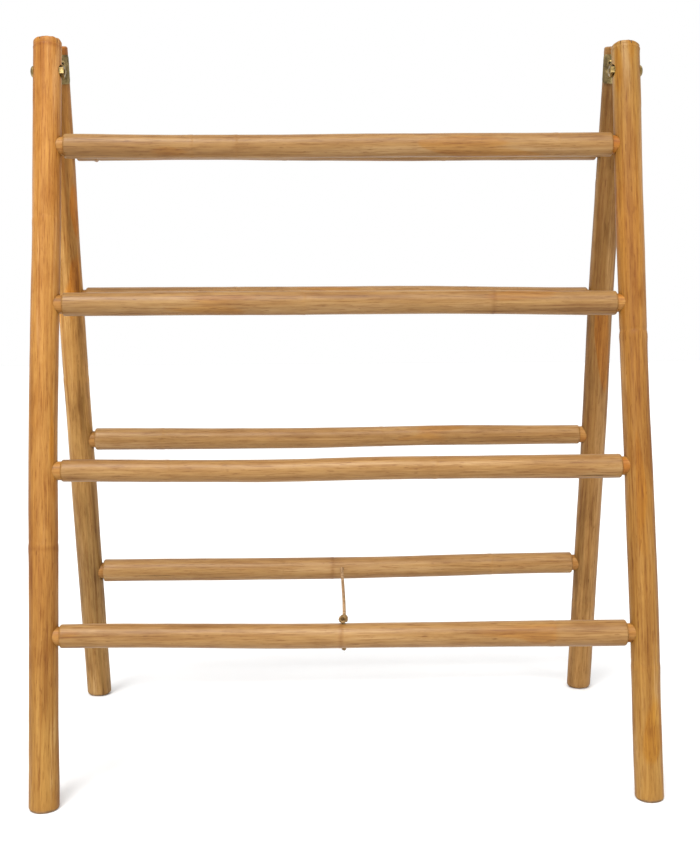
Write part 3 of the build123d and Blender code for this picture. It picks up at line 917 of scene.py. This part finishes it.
def makePole(frameName, sideName, side, seed):
    values, shape = frames[frameName], poleShapes[frameName, sideName]
    foot, up, back = poleAxis(frameName, side)
    top = shape["top"]
    length, sides = values["length"] - top["drop"] * mm, 64
    footRound, topRound, crown = values["footRound"] * mm, top["round"] * mm, top["crown"] * mm
    nodes = [(n * mm, ridge * mm, width * mm) for n, ridge, width in shape["nodes"]]
    flat = shape["bend"][-1][2] * mm / 2 - topRound
    rings = []
    for along, inset in poleStations(length, footRound, topRound, crown, flat, nodes):
        bend, diameter = smoothBetween(shape["bend"], along / length)
        centre = foot + up * along + Vector((bend * mm, 0, 0))
        radius = diameter * mm / 2 + nodeLift(nodes, along, 0.8)
        calm = 0.25 if along > length - 75 * mm else 1.0  # smooth where the hinge sits
        crownRough = top["rough"] * mm * max(0.0, 1 - (length - along) / (7 * mm))
        level = max(0.0, 1 - along / (60 * mm))  # the foot is cut level with the floor
        level = level * level * (3 - 2 * level)
        ring = []
        for j in range(sides):
            angle = 2 * math.pi * j / sides
            slow, quick = unevenness(angle, along, seed)
            rough = (slow * 0.55 - 0.1) * calm + quick * 0.16 * calm
            size = max(0.0, radius + rough * mm - inset)
            offset = (Vector((1, 0, 0)) * math.cos(angle) + back * math.sin(angle)) * size
            lump = noise.noise(Vector((offset.x * 190, offset.y * 190, seed))) - 0.5
            ring.append(centre + offset - up * (offset.z / up.z) * level + up * lump * crownRough)
        rings.append(ring)
    look = frontPole if frameName == "front" else rearPole
    skin = caneMaterial(
        f"{frameName}{sideName.title()}Cane",
        look,
        (tilt * values["lean"], 0, 0),
        seed,
        tone=shape["tone"],
        rings=[n for n, ridge, width in nodes],
        start=values["foot"] * math.sin(tilt * values["lean"]),
        shades=[(share * length, colour) for share, colour in shape["shades"]],
    )
    points, faces = stackRings(rings)
    pole = newMesh(f"{frameName}{sideName.title()}Pole", points, faces, materials=[skin, endGrain])
    for face in pole.data.polygons:
        along = (face.center - foot).dot(up)
        if along > length - crown * 0.9 or along < 0.1 * footRound:
            face.material_index = 1

    inward = Vector((-side, 0, 0))
    cutters = splitCutters(values, shape["splits"], foot, up, back, length - crown, crown)
    cutters += socketCutters(frameName, side, foot, up, inward)
    if frameName == "front":
        cutters += hingeCutters(foot, up, back, inward)
    combine(pole, cutters)
    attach(pole, f"{frameName}_frame")
    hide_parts(f"{frameName}_{sideName}_pole")
    return pole


def rungStations(shoulder, nodes):
    # (across, inset from the bar's surface), where a tenon's rings have a word instead.
    end, roundness = rungBar["tenonEnd"], rungBar["round"]
    arc = [math.pi / 2 * k / 5 for k in range(6)]
    edge = [(shoulder - roundness + roundness * math.sin(a), roundness * (1 - math.cos(a))) for a in arc]
    tenon = [(shoulder, "tenon"), (shoulder + 2 * mm, "tenon"), (end - 1 * mm, "tenon"), (end, "end")]
    half = edge + tenon
    first, last = -shoulder + roundness + 3 * mm, shoulder - roundness - 1 * mm
    places = [(node * mm, ridge, width * mm) for node, ridge, width in nodes]
    mirrored = [(-across, inset) for across, inset in reversed(half)]
    return mirrored + barStations(first, last, places, 0.8 * mm, 2.6) + half


def rungSplitCutter(split, shape, centre):
    first, last, angle, wide, deep = split
    lift, diameter = smoothBetween(shape, (first + last) / 2)
    out = Vector((0, math.cos(math.radians(angle)), math.sin(math.radians(angle))))
    turnAcross = out.cross(Vector((1, 0, 0))) * wide / 2 * mm
    surface = centre + Vector((0, 0, lift * mm)) + out * diameter / 2 * mm
    outlines = []
    for share in (0.0, 0.2, 0.5, 0.8, 1.0):
        gape = 0.15 + math.sin(math.pi * share)
        spot = surface + Vector(((first + (last - first) * share) * mm, 0, 0))
        above, aside = spot + out * 2 * mm, turnAcross * gape * 3
        outlines.append([above + aside, above - aside, spot - out * deep * mm * gape])
    return prismCutter("split", outlines, shadedCutWood)


def makeRung(frameName, number, seed):
    values, name = frames[frameName], rungNames[number]
    shape, nodes = rungShapes[frameName, name], rungNodes[frameName, name]
    foot, up, back = poleAxis(frameName, 0)
    centre = foot + up * values["rungs"][number] * mm
    shoulder, sides = values["neck"] * mm, 48
    rings = []
    for across, inset in rungStations(shoulder, nodes):
        lift, diameter = smoothBetween(shape, across / mm)
        middle = centre + Vector((across, 0, lift * mm))
        swell = nodeLift(nodes, across / mm, 0.6)
        ring = []
        for j in range(sides):
            angle = 2 * math.pi * j / sides
            if inset == "tenon":
                size = tenonRadius
            elif inset == "end":
                size = tenonRadius - 1 * mm
            else:
                slow, quick = unevenness(angle, across, seed)
                size = diameter * mm / 2 + (slow * 0.5 + quick * 0.14 + swell) * mm - inset
            ring.append(middle + Vector((0, math.cos(angle), math.sin(angle))) * size)
        rings.append(ring)
    skin = caneMaterial(
        f"{frameName}{name.title()}RungCane",
        rungCane,
        (0, math.radians(-90), 0),
        seed,
        tone=rungTones[frameName][number],
        rings=[0.5 + node * mm for node, ridge, width in nodes],
        start=-0.5,
    )
    points, faces = stackRings(rings)
    rung = newMesh(f"{frameName}Rung{name.title()}", points, faces, materials=[skin, tenonSkin])
    for face in rung.data.polygons:
        if abs(face.center.x) > shoulder - 0.4 * mm:
            face.material_index = 1
    cutters = []
    if (frameName, name) in rungSplits:
        cutters.append(rungSplitCutter(rungSplits[frameName, name], shape, centre))
    if name == "bottom":
        upright = frameName == "front"  # the twine's hole, upright in front and level behind
        start, direction = ((-1, 0, 30), (0, 0, -1)) if upright else ((3.5, 30, 0), (0, -1, 0))
        start = centre + Vector(start) * mm
        cutters.append(roundCutter("twineHole", start, direction, 60 * mm, rungBar["twineHole"], shadedCutWood))
    combine(rung, cutters)
    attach(rung, f"{frameName}_frame")
    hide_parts(f"{frameName}_rung_{name}")
    return rung


seed = 1.0
for frameName in ("front", "rear"):
    for sideName, side in (("left", -1), ("right", 1)):
        makePole(frameName, sideName, side, seed)
        seed += 1.7
    for number in range(len(rungNames)):
        makeRung(frameName, number, seed)
        seed += 1.3
print("poles and rungs made")

# hardware: brackets from the CAD, bolts, washers, nuts and screws made here
bracketLook = {"dark": (0.085, 0.058, 0.020), "middle": (0.20, 0.145, 0.055), "bright": (0.40, 0.30, 0.13),
               "metallic": 0.75, "rough": 0.5}
fastenerLook = {"dark": (0.10, 0.065, 0.02), "middle": (0.26, 0.18, 0.065), "bright": (0.52, 0.38, 0.16),
                "metallic": 0.85, "rough": 0.34}
bracketBrass = brassMaterial("bracketBrass", bracketLook)
fastenerBrass = brassMaterial("fastenerBrass", fastenerLook)
# Painted shade: a near-black colour on the faces inside the screws' cross recesses.
paintedRecessShade = bareWoodAndShadeMaterial("paintedRecessShade", (0.018, 0.012, 0.006))

# in mm, heights from the head's or nut's seat
bolt = {"shank": 3.0, "head": 6.5, "rim": 0.6, "height": 4.0, "sink": 1.3, "length": 33.3, "thread": 4.5}
washer = {"hole": 3.05, "size": 6.5, "thick": 1.2, "edge": 0.3}
nut = {"hole": 3.05, "flat": 5.5, "corner": 6.35, "high": 5.2, "chamfer": 0.75, "seat": 12.0}
screw = {"shank": 1.5, "length": 12.0, "head": 3.2, "rim": 0.5, "height": 2.0, "spacing": 6.7, "angle": 36,
         "seat": 15.95, "cross": 3.9, "crossWide": 1.15, "crossDeep": 1.3}


def scaled(profile):
    return [(radius * mm, height * mm) for radius, height in profile]


def hexagon(angle, radius):
    # Distance to a hexagon's side, or to the chamfer where that is nearer.
    away = (angle + math.pi / 6) % (math.pi / 3) - math.pi / 6
    return min(radius, nut["flat"] * mm / math.cos(math.pi / 6 - abs(away)))


def makeBolt(sideName, side, pivot, up):
    profile = [(2.2, -bolt["length"]), (2.6, -bolt["length"] + 0.25)]
    along = bolt["length"] - 0.6
    while along > bolt["length"] - bolt["thread"]:
        profile += [(bolt["shank"], -along), (bolt["shank"] - 0.3, -along + 0.35)]
        along -= 0.7
    profile += [(bolt["shank"], -along), (bolt["shank"], 0.0)]
    profile += [(bolt["head"] - 0.25, 0.0), (bolt["head"], 0.25)]
    dome = bolt["height"] - bolt["rim"]
    for k in range(12):
        angle = math.radians(7.8 * k)
        profile.append((bolt["head"] * math.cos(angle), bolt["rim"] + dome * math.sin(angle)))
    seat = pivot + Vector((side * (15.0 - bolt["sink"]) * mm, 0, 0))
    return turnedPiece(f"{sideName}PivotBolt", scaled(profile), seat, (side, 0, 0), fastenerBrass, up)


def makeWasher(sideName, side, pivot, up):
    hole, size, thick, edge = washer["hole"], washer["size"], washer["thick"], washer["edge"]
    profile = [(hole, 0.15), (hole + 0.15, 0), (size - edge, 0), (size, edge), (size, thick - edge),
               (size - edge, thick), (hole + 0.15, thick), (hole, thick - 0.15)]
    seat = pivot - Vector((side * nut["seat"] * mm, 0, 0))
    name, inward = f"{sideName}PivotWasher", (-side, 0, 0)
    return turnedPiece(name, scaled(profile), seat, inward, fastenerBrass, up, hollow=True)


def makeNut(sideName, side, pivot, up):
    high, chamfer, corner, hole = nut["high"], nut["chamfer"], nut["corner"], nut["hole"]
    profile = [(hole, 0.5), (hole + 0.5, 0), (corner - 0.9, 0), (corner, chamfer * 0.55),
               (corner, high - chamfer * 0.55), (corner - 1.1, high), (hole + 0.5, high), (hole, high - 0.5)]
    seat = pivot - Vector((side * (nut["seat"] + washer["thick"]) * mm, 0, 0))
    name, inward = f"{sideName}PivotNut", (-side, 0, 0)
    return turnedPiece(name, scaled(profile), seat, inward, fastenerBrass, up, hollow=True, outline=hexagon)


def crossCutters(seat, out, across):
    # The two arms of a screw's cross recess, narrower at its floor; their faces get the near-black painted
    # shade.
    cutters = []
    top = seat + out * (screw["height"] + 0.6) * mm
    floor = seat + out * (screw["height"] - screw["crossDeep"]) * mm
    for arm in (across, across.cross(out)):
        wide = arm.cross(out) * screw["crossWide"] / 2 * mm
        long = arm * screw["cross"] / 2 * mm
        corners = ((-1, -1), (1, -1), (1, 1), (-1, 1))
        near = [floor + long * 0.45 * a + wide * 0.7 * b for a, b in corners]
        far = [top + long * a + wide * b for a, b in corners]
        cutters.append(prismCutter("cross", [near, far], paintedRecessShade))
    return cutters


def makeScrews(sideName, side, middle, up, back):
    # Four pan heads, each with a cross recess painted dark as shade, as one piece.
    shank, length, head, rim = screw["shank"], screw["length"], screw["head"], screw["rim"]
    profile = [(0.3, -length), (shank * 0.75, -length + 1.4), (shank, -length + 2.4)]
    profile += [(shank, 0), (head - 0.2, 0), (head, 0.2)]
    for k in range(11):
        angle = math.radians(8.4 * k)
        profile.append((head * math.cos(angle), rim + (screw["height"] - rim) * math.sin(angle)))
    screws = []
    for number, (turn, rise) in enumerate([(-1, -1), (-1, 1), (1, -1), (1, 1)]):
        angle = math.radians(screw["angle"])
        out = -back * math.cos(angle) + Vector((1, 0, 0)) * turn * math.sin(angle)
        seat = middle + up * rise * screw["spacing"] * mm + out * screw["seat"] * mm
        one = turnedPiece(f"{sideName}Screw{number}", scaled(profile), seat, out, fastenerBrass, up, sides=48)
        spin = math.radians(17 + 23 * number + 31 * side)
        across = up * math.cos(spin) + up.cross(out) * math.sin(spin)
        combine(one, crossCutters(seat, out, across), sharp=32)
        screws.append(one)
    first = screws[0]
    combine(first, joins=screws[1:], sharp=32)
    first.name = f"{sideName}BracketScrews"
    return first


for sideName, side in (("left", -1), ("right", 1)):
    foot, up, back = poleAxis("front", side)
    pivot = foot + up * (hinge["front"] * mm)
    foot, rearUp, rearBack = poleAxis("rear", side)
    middle = foot + rearUp * (hinge["rear"] * mm)
    made = {
        "pivot_bolt": (makeBolt(sideName, side, pivot, up), "front_frame"),
        "pivot_washer": (makeWasher(sideName, side, pivot, up), "front_frame"),
        "pivot_nut": (makeNut(sideName, side, pivot, up), "front_frame"),
        "bracket_screws": (makeScrews(sideName, side, middle, rearUp, rearBack), "rear_frame"),
    }
    for part, (piece, body) in made.items():
        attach(piece, body)
        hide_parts(f"{sideName}_{part}")
    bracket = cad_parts[f"{sideName}_hinge_bracket"]
    bracket.data.materials.clear()
    bracket.data.materials.append(bracketBrass)
print("hardware finished")

# floor, light and background
floorMaterial, floorTree, floorShader = startMaterial("floorPaper")
floorShader.inputs["Base Color"].default_value = (0.74, 0.74, 0.74, 1)
floorShader.inputs["Roughness"].default_value = 0.9
reach = 6.0
floorCorners = [(-reach, -reach, 0), (reach, -reach, 0), (reach, reach, 0), (-reach, reach, 0)]
floor = newMesh("floor", floorCorners, [(0, 1, 2, 3)], materials=[floorMaterial])

world = bpy.data.worlds.new("studio")
world.use_nodes = True
world.node_tree.nodes["Background"].inputs["Color"].default_value = (1, 1, 1, 1)
world.node_tree.nodes["Background"].inputs["Strength"].default_value = 1.0
scene.world = world
scene.view_settings.view_transform = "Standard"

# each looks at the rack's middle; the one with an angle is a sun
lamps = [
    {"name": "overhead", "place": (-0.5, -1.1, 2.2), "strength": 2.3, "angle": 30},
    {"name": "leftPanel", "place": (-1.35, -2.3, 1.0), "wide": 0.5, "high": 1.7, "strength": 11},
    {"name": "rightPanel", "place": (1.6, -2.2, 1.0), "wide": 0.45, "high": 1.7, "strength": 7},
    {"name": "topPanel", "place": (0.0, -1.5, 2.1), "wide": 3.0, "high": 1.4, "strength": 30},
]
lookAt = Vector((0, 0, 0.4))
for lamp in lamps:
    sun = "angle" in lamp
    data = bpy.data.lights.new(lamp["name"], "SUN" if sun else "AREA")
    data.energy = lamp["strength"]
    if sun:
        data.angle = math.radians(lamp["angle"])
    else:
        data.shape = "RECTANGLE"
        data.size, data.size_y = lamp["wide"], lamp["high"]
    light = bpy.data.objects.new(lamp["name"], data)
    light.location = lamp["place"]
    light.rotation_euler = (lookAt - Vector(lamp["place"])).to_track_quat("-Z", "Y").to_euler()
    scene.collection.objects.link(light)
print("studio set")
